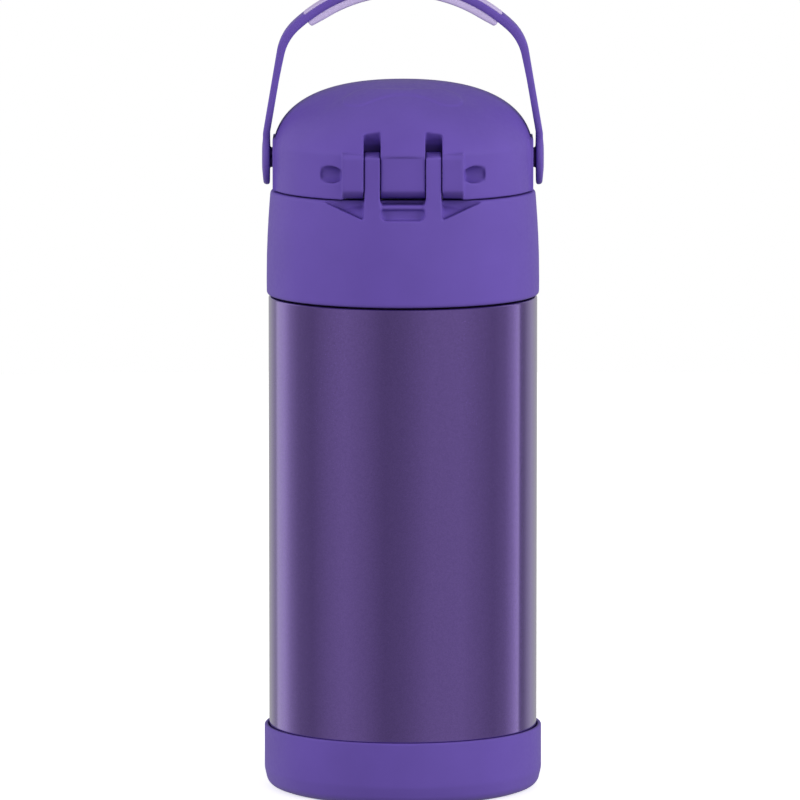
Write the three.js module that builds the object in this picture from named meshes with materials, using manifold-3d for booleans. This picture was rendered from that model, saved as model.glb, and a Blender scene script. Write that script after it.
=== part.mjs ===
// Kids' vacuum-insulated straw bottle with a flip-up lid and a carry handle.
//
// Millimetres, +Z up. The origin is the centre of the foot ring, on the surface the bottle stands on.
// The lid's hinge is at the back, -Y, and the push button that frees the lid is at the front, +Y.
// Every piece is its own closed solid at its assembled place, with the lid shut and the spout folded.

import * as THREE from 'three';
import { mergeVertices } from 'three/addons/utils/BufferGeometryUtils.js';
import Module from 'manifold-3d';

const wasm = await Module();
wasm.setup();

// ---------------------------------------------------------------- driving dimensions

const FACETS = 40; // sides of the large round pieces
const SMALL_FACETS = 20; // sides of pins, bores and tubes
const GAP = 0.3; // between pieces that touch or are cut to each other

const SHELL_R = 34.5; // painted steel body, outside
const SHELL_WALL = 0.6;
const SHELL_BOTTOM = 2.3;
const SHOULDER_Z = 127.4;

const BOOT_R = 35.7;
const BOOT_TOP = 16.4;

const LINER_R = 31.7; // inner flask, outside
const LINER_WALL = 0.5;
const LINER_BOTTOM = 8.4;
const LINER_SHOULDER_Z = 121;

const NECK_R = 28.2; // threaded neck, outside
const NECK_TOP = 145.6;
const RIM_TOP = 147;

const THREAD_PITCH = 4;
const THREAD_HEIGHT = 1.3;
const THREAD_TURNS = 1.25;
const NECK_THREAD_Z = 135;

const COLLAR_BOTTOM = 127.8;
const SEAM_Z = 154.6; // top of the collar, where the lid closes on it
const COLLAR_WALL = 1.7;
const DECK_TOP = 152.4;
const DECK_THICKNESS = 1.4;

const INSERT_SKIRT_IN = NECK_R + THREAD_HEIGHT + 0.1;
const INSERT_SKIRT_OUT = 31.3;
const INSERT_DECK_TOP = DECK_TOP - DECK_THICKNESS - 0.4;
const INSERT_DECK_BOTTOM = 149;

const LID_R = 33.5;
const LID_WALL = 1.8;
const LID_BOTTOM = SEAM_Z + GAP;
const LID_TOP = 182.7;
const DOME_START = 162.6; // below this the lid's side is straight
const DOME_POWER = 2.5; // superellipse exponent of the dome

const HINGE_Y = -28.3;
const HINGE_Z = 161.2;
const HINGE_PIN_R = 1.3;
const HINGE_EAR_X = 8.05; // middle of each collar ear
const HINGE_EAR_WIDTH = 3.8;
const HINGE_EAR_R = 6;
const KNUCKLE_X = 15.7; // outer side of the lid's outer knuckles
const KNUCKLE_BACK_Y = -33;
const KNUCKLE_R = 6;
const SLOT_X = [5.7, 10.4];
const SLOT_TOP = 172.6;

const PIVOT_Z = 163; // handle pivots, at Y 0
const PIVOT_R = 2.55;
const EAR_PAD_X = 33.35;
const EAR_PAD_TOP = 169;
const EAR_PAD_HALF_Y = 8;

const HANDLE_WIDTH = 10;
const HANDLE_TOP = 208.9;
const HANDLE_TOP_R = 41.4;
const HANDLE_CORNER_R = 13.7;
const HANDLE_LEG_X = 35.85;
const HANDLE_LEG_Z = 169.5;
const HANDLE_LEAN = THREE.MathUtils.degToRad(9.7);
const HANDLE_LEG_THICKNESS = 1.85;
const HANDLE_ARCH_THICKNESS = 2.75;
const HANDLE_END_R = 7;
const GRIP_HALF_X = 24.5;
const GRIP_THICKNESS = 1.25;

const SPOUT_PIVOT_Z = 156.8;
const SPOUT_BALL_R = 5.6;
const SPOUT_LENGTH = 23;
const SPOUT_REST_TILT = THREE.MathUtils.degToRad(60); // forwards from upright, under the shut lid

const STRAW_R = 3.5;
const STRAW_WALL = 0.75;
const STRAW_BOTTOM = 12;
const STRAW_TOP = 148;

const BUTTON_Z = [141.5, 152];
const BUTTON_HALF_X = 9;
const BUTTON_OUT_R = 35.5;
const BUTTON_IN_R = 34.1;

// ---------------------------------------------------------------- materials

const material = (color, roughness, metalness) =>
  new THREE.MeshStandardMaterial({ color, roughness, metalness });

const paintedSteel = material(0x5a4680, 0.3, 0.85);
const bareSteel = material(0xb9b9bd, 0.32, 1);
const springSteel = material(0xa4a4a8, 0.3, 1);
const foilMetal = material(0xc98b62, 0.25, 1);
const purplePlastic = material(0x6651a1, 0.42, 0);
const innerPlastic = material(0x4f3d80, 0.5, 0);
const bootPlastic = material(0x5e4b96, 0.55, 0);
const gripRubber = material(0xb9a6dc, 0.6, 0);
const clearSilicone = material(0xe6e4ea, 0.35, 0);
const strawPlastic = material(0xe9e7ee, 0.4, 0);

// ---------------------------------------------------------------- solids

// A closed geometry as a solid: shared corners merged, flat slivers dropped, faces turned outwards.
function solid(geometry) {
  const bare = geometry.clone();
  bare.deleteAttribute('normal');
  bare.deleteAttribute('uv');
  const merged = mergeVertices(bare, 1e-4);
  const points = merged.attributes.position;
  const corner = [new THREE.Vector3(), new THREE.Vector3(), new THREE.Vector3()];
  const faces = [];
  let volume = 0;
  for (let i = 0; i < merged.index.count; i += 3) {
    const face = [0, 1, 2].map((k) => merged.index.getX(i + k));
    if (new Set(face).size < 3) continue;
    face.forEach((vertex, k) => corner[k].fromBufferAttribute(points, vertex));
    volume += corner[0].dot(corner[1].clone().cross(corner[2]));
    faces.push(face);
  }
  const outward = volume > 0 ? faces : faces.map((face) => face.toReversed());
  const triVerts = Uint32Array.from(outward.flat());
  const mesh = new wasm.Mesh({ numProp: 3, vertProperties: Float32Array.from(points.array), triVerts });
  return new wasm.Manifold(mesh);
}

function join(...parts) {
  return parts.reduce((whole, part) => whole.add(part));
}

function cut(whole, ...tools) {
  return tools.reduce((rest, tool) => rest.subtract(tool), whole);
}

// A solid turned about Z from a closed profile of [radius, height] points.
function turned(profile, facets = FACETS) {
  const closed = [...profile, profile[0]];
  const points = closed.map(([radius, height]) => new THREE.Vector2(radius, height));
  return solid(new THREE.LatheGeometry(points, facets).rotateX(Math.PI / 2));
}

function box(low, high) {
  const size = high.map((value, i) => value - low[i]);
  const middle = high.map((value, i) => (value + low[i]) / 2);
  return solid(new THREE.BoxGeometry(...size).translate(...middle));
}

function cylinderX(radius, fromX, toX, y, z, facets = SMALL_FACETS) {
  const geometry = new THREE.CylinderGeometry(radius, radius, toX - fromX, facets);
  return solid(geometry.rotateZ(Math.PI / 2).translate((fromX + toX) / 2, y, z));
}

function cylinderZ(radius, fromZ, toZ, x = 0, y = 0, facets = SMALL_FACETS) {
  const geometry = new THREE.CylinderGeometry(radius, radius, toZ - fromZ, facets);
  return solid(geometry.rotateX(Math.PI / 2).translate(x, y, (fromZ + toZ) / 2));
}

// A YZ outline given as [y, z] points, as thick as the stretch of X from fromX to toX.
function plateX(outline, fromX, toX) {
  const shape = new THREE.Shape(outline.map(([y, z]) => new THREE.Vector2(y, z)));
  const geometry = new THREE.ExtrudeGeometry(shape, { depth: toX - fromX, bevelEnabled: false });
  return solid(geometry.rotateZ(Math.PI / 2).rotateY(Math.PI / 2).translate(fromX, 0, 0));
}

// An XZ outline given as [x, z] points, as wide as the stretch of Y from fromY to toY.
function plateY(outline, fromY, toY) {
  const shape = new THREE.Shape(outline.map(([x, z]) => new THREE.Vector2(x, z)));
  const geometry = new THREE.ExtrudeGeometry(shape, { depth: toY - fromY, bevelEnabled: false });
  return solid(geometry.rotateX(Math.PI / 2).translate(0, toY, 0));
}

// Points on an arc about a centre, angles in radians from the first axis towards the second.
function arc([centreA, centreB], radius, from, to, steps) {
  const points = [];
  for (let i = 0; i <= steps; i++) {
    const angle = from + ((to - from) * i) / steps;
    points.push([centreA + radius * Math.cos(angle), centreB + radius * Math.sin(angle)]);
  }
  return points;
}

// A helical ridge of trapezoid section about Z. Its root is sunk a little into the wall it stands on.
function threadRidge(wallRadius, outward, startZ, turns) {
  const stepsPerTurn = 32;
  const sink = 0.3;
  const tip = THREAD_HEIGHT - GAP;
  const rootHalf = 1;
  const tipHalf = 0.35;
  const section = [
    [-sink, -rootHalf],
    [tip, -tipHalf],
    [tip, tipHalf],
    [-sink, rootHalf],
  ];
  const rings = Math.round(stepsPerTurn * turns);
  const positions = [];
  for (let i = 0; i <= rings; i++) {
    const angle = (i / stepsPerTurn) * 2 * Math.PI;
    const z = startZ + (i / stepsPerTurn) * THREAD_PITCH;
    for (const [height, along] of section) {
      const radius = wallRadius + outward * height;
      positions.push(radius * Math.cos(angle), radius * Math.sin(angle), z + along);
    }
  }
  const index = [];
  const sides = section.length;
  for (let i = 0; i < rings; i++) {
    for (let k = 0; k < sides; k++) {
      const a = i * sides + k;
      const b = i * sides + ((k + 1) % sides);
      index.push(a, b, b + sides, a, b + sides, a + sides);
    }
  }
  const last = rings * sides;
  index.push(0, 2, 1, 0, 3, 2, last, last + 1, last + 2, last, last + 2, last + 3);
  const geometry = new THREE.BufferGeometry();
  geometry.setAttribute('position', new THREE.Float32BufferAttribute(positions, 3));
  geometry.setIndex(index);
  return solid(geometry);
}

// A round wire wound about a straight axis, from one end to the other, in the +Z direction.
function coil(radius, wireRadius, length, turns) {
  const stepsPerTurn = 12;
  const points = [];
  for (let i = 0; i <= stepsPerTurn * turns; i++) {
    const angle = (i / stepsPerTurn) * 2 * Math.PI;
    const z = (length * i) / (stepsPerTurn * turns);
    points.push(new THREE.Vector3(radius * Math.cos(angle), radius * Math.sin(angle), z));
  }
  const wire = new THREE.Shape().absarc(0, 0, wireRadius, 0, 2 * Math.PI);
  return new THREE.ExtrudeGeometry(wire, {
    extrudePath: new THREE.CatmullRomCurve3(points),
    steps: stepsPerTurn * turns,
    curveSegments: 3,
    bevelEnabled: false,
  });
}

const bottle = new THREE.Group();

// Adds a finished solid to the bottle as a named piece.
function addPiece(name, shape, finish) {
  const { vertProperties, triVerts } = shape.getMesh();
  const geometry = new THREE.BufferGeometry();
  geometry.setAttribute('position', new THREE.BufferAttribute(Float32Array.from(vertProperties), 3));
  geometry.setIndex(new THREE.BufferAttribute(Uint32Array.from(triVerts), 1));
  geometry.computeVertexNormals();
  const mesh = new THREE.Mesh(geometry, finish);
  mesh.name = name;
  bottle.add(mesh);
}

// ---------------------------------------------------------------- flask

function outerShell() {
  const inner = SHELL_R - SHELL_WALL;
  const wall = turned([
    [31, SHELL_BOTTOM],
    [32.6, SHELL_BOTTOM],
    [33.9, SHELL_BOTTOM + 0.7],
    [SHELL_R, SHELL_BOTTOM + 2],
    [SHELL_R, SHOULDER_Z - 1.1],
    [SHELL_R - 0.4, SHOULDER_Z - 0.3],
    [SHELL_R - 1.3, SHOULDER_Z],
    [NECK_R + 0.6, SHOULDER_Z + 0.1],
    [NECK_R, SHOULDER_Z + 0.8],
    [NECK_R, NECK_TOP],
    [NECK_R - SHELL_WALL, NECK_TOP],
    [NECK_R - SHELL_WALL, SHOULDER_Z - 0.3],
    [inner - 1.1, SHOULDER_Z - 0.6],
    [inner, SHOULDER_Z - 1.4],
    [inner, SHELL_BOTTOM + 2.1],
    [32.4, SHELL_BOTTOM + SHELL_WALL],
    [31, SHELL_BOTTOM + SHELL_WALL],
  ]);
  return wall.add(threadRidge(NECK_R, 1, NECK_THREAD_Z, THREAD_TURNS));
}

function outerBottom() {
  return turned([
    [0, 4.1],
    [14, 3.8],
    [25, 2.9],
    [30.6, 2.4],
    [30.6, 3],
    [25, 3.5],
    [14, 4.4],
    [0, 4.7],
  ]);
}

function vacuumPlug() {
  return turned([[0, 2.9], [3.2, 2.9], [3.6, 3.2], [3.6, 3.6], [0, 3.6]], SMALL_FACETS);
}

function getterPellet() {
  return turned([[0, 5.1], [5.4, 5.1], [6, 5.6], [6, 7.4], [5.4, 8], [0, 8]], SMALL_FACETS);
}

function innerLiner() {
  const inside = LINER_R - LINER_WALL;
  const neckOut = NECK_R - SHELL_WALL - GAP;
  const neckIn = neckOut - LINER_WALL;
  return turned([
    [0, LINER_BOTTOM],
    [LINER_R - 5, LINER_BOTTOM],
    [LINER_R - 1.5, LINER_BOTTOM + 1.5],
    [LINER_R, LINER_BOTTOM + 5],
    [LINER_R, LINER_SHOULDER_Z],
    [LINER_R - 1, LINER_SHOULDER_Z + 2.6],
    [neckOut + 0.8, LINER_SHOULDER_Z + 4.4],
    [neckOut, LINER_SHOULDER_Z + 5.6],
    [neckOut, NECK_TOP + GAP],
    [NECK_R, NECK_TOP + GAP],
    [NECK_R, RIM_TOP - 0.4],
    [NECK_R - 0.4, RIM_TOP],
    [neckIn + 0.4, RIM_TOP],
    [neckIn, RIM_TOP - 0.4],
    [neckIn, LINER_SHOULDER_Z + 5.4],
    [neckIn + 0.7, LINER_SHOULDER_Z + 4],
    [inside - 0.9, LINER_SHOULDER_Z + 2.1],
    [inside, LINER_SHOULDER_Z - 0.2],
    [inside, LINER_BOTTOM + 5.1],
    [inside - 1.4, LINER_BOTTOM + 1.9],
    [inside - 4.6, LINER_BOTTOM + LINER_WALL],
    [0, LINER_BOTTOM + LINER_WALL],
  ]);
}

function radiationFoil() {
  return turned([[32.7, 14], [32.95, 14], [32.95, 117], [32.7, 117]]);
}

function baseBoot() {
  const inner = SHELL_R + GAP;
  return turned([
    [0, 0.9],
    [21, 0.9],
    [22, 0],
    [31.7, 0],
    [33.8, 0.7],
    [35.2, 2.2],
    [BOOT_R, 4.2],
    [BOOT_R, BOOT_TOP - 0.9],
    [BOOT_R - 0.25, BOOT_TOP - 0.3],
    [BOOT_R - 0.6, BOOT_TOP],
    [inner, BOOT_TOP - 0.3],
    [inner, SHELL_BOTTOM + 1.9],
    [34, SHELL_BOTTOM + 0.4],
    [32.7, SHELL_BOTTOM - GAP],
    [0, SHELL_BOTTOM - GAP],
  ]);
}

// ---------------------------------------------------------------- cap

// The collar's outside, a shallow curve that draws in towards the lid.
function collarProfile() {
  return [
    [34.1, COLLAR_BOTTOM],
    [34.8, COLLAR_BOTTOM + 0.4],
    [35, COLLAR_BOTTOM + 1.1],
    [35, COLLAR_BOTTOM + 5],
    [34.9, COLLAR_BOTTOM + 12],
    [34.6, COLLAR_BOTTOM + 19],
    [34.25, COLLAR_BOTTOM + 24],
    [34, SEAM_Z - 0.5],
    [33.7, SEAM_Z],
  ];
}

function hingeEar(side) {
  const middle = side * HINGE_EAR_X;
  const backY = HINGE_Y - HINGE_EAR_R;
  const outline = [
    [backY, DECK_TOP],
    [HINGE_Y + HINGE_EAR_R - 1.2, DECK_TOP],
    ...arc([HINGE_Y, HINGE_Z], HINGE_EAR_R, -0.5, Math.PI, 12),
  ];
  return plateX(outline, middle - HINGE_EAR_WIDTH / 2, middle + HINGE_EAR_WIDTH / 2);
}

// The relief each side of the ears that the lid's back turns down into.
function hingeRelief(side) {
  const xs = [side * 10.2, side * 20.5].sort((a, b) => a - b);
  const outline = [
    [-27.1, SEAM_Z + 1],
    [-27.1, SEAM_Z],
    [-36, SEAM_Z - 7.7],
    [-36, SEAM_Z + 1],
  ];
  return plateX(outline, xs[0], xs[1]);
}

function collar() {
  const shell = turned([
    ...collarProfile(),
    [31.4, SEAM_Z],
    [31.4, DECK_TOP],
    [6.4, DECK_TOP],
    [6.4, DECK_TOP - DECK_THICKNESS],
    [33 - COLLAR_WALL + 0.7, DECK_TOP - DECK_THICKNESS],
    [35 - COLLAR_WALL - 0.9, COLLAR_BOTTOM + 19],
    [35 - COLLAR_WALL, COLLAR_BOTTOM + 5],
    [35 - COLLAR_WALL, COLLAR_BOTTOM],
  ]);
  const outline = turned([[0, COLLAR_BOTTOM], ...collarProfile(), [0, SEAM_Z]]);
  const backBlock = box([-21, -36, 146], [21, -24.2, SEAM_Z]).intersect(outline);
  const insertRoom = cylinderZ(INSERT_SKIRT_OUT + 0.4, 140, DECK_TOP - DECK_THICKNESS, 0, 0, FACETS);
  const springRib = box([-3, 22.4, DECK_TOP - 0.5], [3, 23.9, DECK_TOP + 3.4]);
  const solidCollar = join(shell, cut(backBlock, insertRoom), hingeEar(-1), hingeEar(1), springRib);
  const pocket = plateY(
    [
      [-5.6, SEAM_Z + 1],
      ...arc([-4.1, 151.5], 1.5, Math.PI, 1.5 * Math.PI, 4),
      ...arc([4.1, 151.5], 1.5, 1.5 * Math.PI, 2 * Math.PI, 4),
      [5.6, SEAM_Z + 1],
    ],
    -37,
    -28,
  );
  const buttonWindow = box([-9.4, 30, BUTTON_Z[0] - 0.4], [9.4, 37, BUTTON_Z[1] + 0.4]);
  const latchSlot = box([-4.2, 25.9, DECK_TOP - 3], [4.2, 33, SEAM_Z + 1]);
  const pinHole = cylinderX(HINGE_PIN_R + GAP, -12, 12, HINGE_Y, HINGE_Z);
  const ventHole = cylinderZ(1.5, DECK_TOP - 3, DECK_TOP + 1, -13, -9, 12);
  return cut(
    solidCollar,
    hingeRelief(-1),
    hingeRelief(1),
    pocket,
    buttonWindow,
    latchSlot,
    pinHole,
    ventHole,
  );
}

function stopperInsert() {
  const body = turned([
    [6.1, INSERT_DECK_BOTTOM],
    [22.8, INSERT_DECK_BOTTOM],
    [22.8, 141.5],
    [24.4, 141.5],
    [24.8, 142.2],
    [24.8, INSERT_DECK_BOTTOM],
    [INSERT_SKIRT_IN, INSERT_DECK_BOTTOM],
    [INSERT_SKIRT_IN, 129.4],
    [INSERT_SKIRT_OUT, 129.4],
    [INSERT_SKIRT_OUT, INSERT_DECK_TOP],
    [6.1, INSERT_DECK_TOP],
  ]);
  const ridge = threadRidge(INSERT_SKIRT_IN, -1, NECK_THREAD_Z - THREAD_PITCH / 2, THREAD_TURNS);
  const ventHole = cylinderZ(1.5, INSERT_DECK_BOTTOM - 1, INSERT_DECK_TOP + 1, -13, -9, 12);
  const latchRoom = box([-9.4, 29.6, 147.5], [9.4, 33, INSERT_DECK_TOP + 1]);
  return cut(body.add(ridge), ventHole, latchRoom);
}

function lidSeal() {
  return turned([
    [25.1, RIM_TOP + GAP],
    [28.4, RIM_TOP + GAP],
    [28.8, RIM_TOP + 0.9],
    [28.4, INSERT_DECK_BOTTOM - GAP],
    [25.1, INSERT_DECK_BOTTOM - GAP],
  ]);
}

// The silicone base of the mouthpiece: a cup for the spout's ball, a flange and the straw socket.
function mouthpiece() {
  return turned([
    [2.6, STRAW_TOP + 0.4],
    [2.6, SPOUT_PIVOT_Z - SPOUT_BALL_R - 0.1],
    ...arc([0, SPOUT_PIVOT_Z], SPOUT_BALL_R + 0.4, -1.02, -0.4, 5),
    [SPOUT_BALL_R + 1.1, SPOUT_PIVOT_Z - 2.7],
    [SPOUT_BALL_R + 1.7, DECK_TOP + 1.1],
    [11, DECK_TOP + 0.9],
    [11.3, DECK_TOP + GAP],
    [5.8, DECK_TOP + GAP],
    [5.8, INSERT_DECK_BOTTOM - 0.4],
    [6.9, INSERT_DECK_BOTTOM - 0.6],
    [5.9, INSERT_DECK_BOTTOM - 2.6],
    [5.5, 138],
    [STRAW_R + 0.4, 138],
    [STRAW_R + 0.4, STRAW_TOP + 0.4],
  ], 28);
}

function ventValve() {
  return turned([
    [0, INSERT_DECK_BOTTOM - 2],
    [1.1, INSERT_DECK_BOTTOM - 1.6],
    [1.1, DECK_TOP + GAP],
    [2.8, DECK_TOP + GAP],
    [2.6, DECK_TOP + 0.9],
    [0, DECK_TOP + 1.3],
  ], 16).translate([-13, -9, 0]);
}

function hingePin() {
  return cylinderX(HINGE_PIN_R, -15.2, 15.2, HINGE_Y, HINGE_Z);
}

// ---------------------------------------------------------------- straw and spout

function straw() {
  const inner = STRAW_R - STRAW_WALL;
  const tube = turned([
    [inner, STRAW_BOTTOM],
    [STRAW_R, STRAW_BOTTOM],
    [STRAW_R, STRAW_TOP],
    [inner, STRAW_TOP],
  ], SMALL_FACETS);
  const intakeNotch = box([-5, -0.9, STRAW_BOTTOM - 1], [5, 0.9, STRAW_BOTTOM + 2.2]);
  return tube.subtract(intakeNotch);
}

function spout() {
  const bore = 2.4;
  const stem = 4.3;
  const upright = turned([
    ...arc([0, 0], SPOUT_BALL_R, -1.12, 0.66, 7),
    [stem, 6],
    [stem, 15.5],
    [stem + 0.9, 17.5],
    [stem + 0.9, 19],
    [stem + 0.2, SPOUT_LENGTH - 0.6],
    [stem - 0.8, SPOUT_LENGTH],
    [bore, SPOUT_LENGTH],
    [bore, -5],
  ], 24);
  const tilt = THREE.MathUtils.radToDeg(-SPOUT_REST_TILT);
  return upright.rotate([tilt, 0, 0]).translate([0, 0, SPOUT_PIVOT_Z]);
}

// ---------------------------------------------------------------- button

function button() {
  const [low, high] = BUTTON_Z;
  const ring = turned([[BUTTON_IN_R, low], [BUTTON_OUT_R, low], [BUTTON_OUT_R, high], [BUTTON_IN_R, high]], 96);
  const face = ring.intersect(box([-BUTTON_HALF_X, 30, low], [BUTTON_HALF_X, 37, high]));
  const arm = box([-3.6, 29.7, 151.3], [3.6, 34.6, 152]);
  const post = box([-3.6, 28.4, 151.3], [3.6, 29.9, 159.2]);
  const nose = plateX([[29.8, 157.9], [31.3, 157.9], [31.1, 158.4], [29.8, 159.2]], -3.6, 3.6);
  return join(face, arm, post, nose);
}

function buttonSpring() {
  const wound = solid(coil(1.2, 0.3, 2, 3));
  return wound.rotate([-90, 0, 0]).translate([0, 26.1, 154.4]);
}

// ---------------------------------------------------------------- flip lid

// Dome half-profile: straight side, then a quarter superellipse up to the crown.
function domeProfile(radius, bottom, top, steps) {
  const points = [[radius, bottom]];
  for (let i = 0; i <= steps; i++) {
    const angle = (i / steps) * (Math.PI / 2);
    const out = Math.cos(angle) ** (2 / DOME_POWER);
    const up = Math.sin(angle) ** (2 / DOME_POWER);
    points.push([i === steps ? 0 : radius * out, DOME_START + (top - DOME_START) * up]);
  }
  return points;
}

function earPad(side) {
  const xs = [side * 29.5, side * EAR_PAD_X].sort((a, b) => a - b);
  return box([xs[0], -EAR_PAD_HALF_Y, LID_BOTTOM], [xs[1], EAR_PAD_HALF_Y, EAR_PAD_TOP]);
}

// The hinge block across the lid's back, rounded about the hinge below.
function knuckleBlock() {
  const outline = [
    ...arc([HINGE_Y, HINGE_Z], KNUCKLE_R, -0.3 * Math.PI, -0.78 * Math.PI, 7),
    [KNUCKLE_BACK_Y, 158.6],
    [KNUCKLE_BACK_Y, 165.8],
    [-31.6, 168],
    [-24, 170.5],
    [-24, HINGE_Z - 4],
  ];
  return plateX(outline, -KNUCKLE_X, KNUCKLE_X);
}

function flipLid() {
  const outer = turned([[0, LID_BOTTOM], ...domeProfile(LID_R, LID_BOTTOM, LID_TOP, 10)]);
  const inside = LID_R - LID_WALL;
  const hollow = turned([[0, LID_BOTTOM - 2], ...domeProfile(inside, LID_BOTTOM - 2, LID_TOP - LID_WALL, 8)]);
  const hingeRoom = box([-KNUCKLE_X, -40, LID_BOTTOM - 1], [KNUCKLE_X, -24, HINGE_Z]);
  const wall = cut(outer, hollow, hingeRoom);
  const catchLedge = box([-4.2, 30.6, 155.9], [4.2, 32.4, 157.6]);
  const pads = [-1, 1].map((side) => earPad(side).subtract(hollow));
  const solidLid = join(wall, knuckleBlock(), catchLedge, ...pads);
  const slots = [-1, 1].map((side) => {
    const xs = SLOT_X.map((x) => side * x).sort((a, b) => a - b);
    return box([xs[0], -40, LID_BOTTOM - 2], [xs[1], -20, SLOT_TOP]);
  });
  const padFlats = [-1, 1].map((side) => {
    const xs = [side * EAR_PAD_X, side * 36].sort((a, b) => a - b);
    return box([xs[0], -EAR_PAD_HALF_Y, 150], [xs[1], EAR_PAD_HALF_Y, EAR_PAD_TOP]);
  });
  const pivotHoles = [-1, 1].map((side) => {
    const xs = [side * 31, side * 36].sort((a, b) => a - b);
    return cylinderX(PIVOT_R + 0.35, xs[0], xs[1], 0, PIVOT_Z);
  });
  const pinTroughs = [-1, 1].map((side) => {
    const xs = [side * 15.6, side * 22].sort((a, b) => a - b);
    return cylinderX(2.2, xs[0], xs[1], HINGE_Y, HINGE_Z);
  });
  const pinHole = cylinderX(HINGE_PIN_R + 0.4, -20, 20, HINGE_Y, HINGE_Z);
  const springPocket = cylinderX(3.6, -3.9, 3.9, HINGE_Y, HINGE_Z);
  const springMouth = box([-3.9, HINGE_Y, HINGE_Z - 3.6], [3.9, -20, HINGE_Z + 3.6]);
  return cut(
    solidLid,
    ...slots,
    ...padFlats,
    ...pivotHoles,
    ...pinTroughs,
    pinHole,
    springPocket,
    springMouth,
  );
}

function lidSpring() {
  const wound = solid(coil(2.45, 0.45, 6.2, 5));
  return wound.rotate([0, 90, 0]).translate([-3.1, HINGE_Y, HINGE_Z]);
}

// ---------------------------------------------------------------- carry handle

// Outside of the handle's right half as [x, z], from the pivot end to the middle of the arch.
function handleOutside() {
  const topCentreZ = HANDLE_TOP - HANDLE_TOP_R;
  const legUp = [-Math.sin(HANDLE_LEAN), Math.cos(HANDLE_LEAN)];
  const inward = [-legUp[1], legUp[0]];
  const base = [
    HANDLE_LEG_X + HANDLE_CORNER_R * inward[0],
    HANDLE_LEG_Z + HANDLE_CORNER_R * inward[1] - topCentreZ,
  ];
  const reach = HANDLE_TOP_R - HANDLE_CORNER_R;
  const half = base[0] * legUp[0] + base[1] * legUp[1];
  const along = -half + Math.sqrt(half ** 2 - (base[0] ** 2 + base[1] ** 2 - reach ** 2));
  const corner = [base[0] + along * legUp[0], base[1] + along * legUp[1] + topCentreZ];
  const joinAngle = Math.atan2(corner[1] - topCentreZ, corner[0]);
  const leg = [[HANDLE_LEG_X - 0.1, PIVOT_Z - HANDLE_END_R], [HANDLE_LEG_X, HANDLE_LEG_Z]];
  const round = arc(corner, HANDLE_CORNER_R, HANDLE_LEAN, joinAngle, 6);
  const crown = arc([0, topCentreZ], HANDLE_TOP_R, joinAngle, Math.PI / 2, 8).slice(1);
  return [...leg, ...round, ...crown];
}

// The handle's right half moved inwards by a depth that grows from the legs to the arch.
function handleInside(outside, legDepth, archDepth) {
  return outside.map(([x, z], i) => {
    const before = outside[Math.max(i - 1, 0)];
    const after = outside[Math.min(i + 1, outside.length - 1)];
    const run = new THREE.Vector2(after[0] - before[0], after[1] - before[1]).normalize();
    if (i === outside.length - 1) run.set(-1, 0);
    const share = THREE.MathUtils.smoothstep(z, HANDLE_LEG_Z + 12, HANDLE_TOP - 8);
    const depth = THREE.MathUtils.lerp(legDepth, archDepth, share);
    return [x - run.y * depth, z + run.x * depth];
  });
}

function mirrored(half) {
  return [...half, ...half.slice(0, -1).toReversed().map(([x, z]) => [-x, z])];
}

// A strip between two depths under the handle's outside, cut to a half width along X.
function handleStrip(legDepths, archDepths, width) {
  const outside = handleOutside();
  const outer = mirrored(handleInside(outside, legDepths[0], archDepths[0]));
  const inner = mirrored(handleInside(outside, legDepths[1], archDepths[1]));
  return plateY([...outer, ...inner.toReversed()], -width / 2, width / 2);
}

function handleBand() {
  const band = handleStrip([0, HANDLE_LEG_THICKNESS], [0, HANDLE_ARCH_THICKNESS], HANDLE_WIDTH);
  const footTrim = box([-40, -HANDLE_WIDTH, PIVOT_Z - HANDLE_END_R - 1], [40, HANDLE_WIDTH, PIVOT_Z]);
  const discs = [-1, 1].map((side) => {
    const xs = [side * 34.1, side * 35.9].sort((a, b) => a - b);
    return cylinderX(HANDLE_END_R, xs[0], xs[1], 0, PIVOT_Z, 28);
  });
  const trunnions = [-1, 1].map((side) => {
    const xs = [side * 31.5, side * 34.6].sort((a, b) => a - b);
    return cylinderX(PIVOT_R, xs[0], xs[1], 0, PIVOT_Z);
  });
  const inlayRoom = handleStrip([-1, 0.75], [-1, 0.75], 5.6).intersect(gripSpan(GRIP_HALF_X + 0.3));
  return cut(join(cut(band, footTrim), ...discs, ...trunnions), inlayRoom);
}

function gripSpan(halfX) {
  return box([-halfX, -HANDLE_WIDTH, 190], [halfX, HANDLE_WIDTH, HANDLE_TOP + 2]);
}

function handleGrip() {
  const from = HANDLE_ARCH_THICKNESS + GAP;
  const strip = handleStrip([from, from + GRIP_THICKNESS], [from, from + GRIP_THICKNESS], HANDLE_WIDTH - 0.8);
  return strip.intersect(gripSpan(GRIP_HALF_X));
}

function handleInlay() {
  return handleStrip([-0.2, 0.45], [-0.2, 0.45], 5).intersect(gripSpan(GRIP_HALF_X));
}

// ---------------------------------------------------------------- assembly

addPiece('outer_shell', outerShell(), paintedSteel);
addPiece('outer_bottom', outerBottom(), bareSteel);
addPiece('vacuum_seal_plug', vacuumPlug(), bareSteel);
addPiece('getter', getterPellet(), bareSteel);
addPiece('inner_liner', innerLiner(), bareSteel);
addPiece('radiation_foil', radiationFoil(), foilMetal);
addPiece('base_boot', baseBoot(), bootPlastic);
addPiece('collar', collar(), purplePlastic);
addPiece('stopper_insert', stopperInsert(), innerPlastic);
addPiece('lid_seal', lidSeal(), clearSilicone);
addPiece('mouthpiece', mouthpiece(), clearSilicone);
addPiece('vent_valve', ventValve(), clearSilicone);
addPiece('hinge_pin', hingePin(), bareSteel);
addPiece('straw', straw(), strawPlastic);
addPiece('spout', spout(), clearSilicone);
addPiece('button', button(), purplePlastic);
addPiece('button_spring', buttonSpring(), springSteel);
addPiece('flip_lid', flipLid(), purplePlastic);
addPiece('lid_spring', lidSpring(), springSteel);
addPiece('handle_band', handleBand(), purplePlastic);
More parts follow.
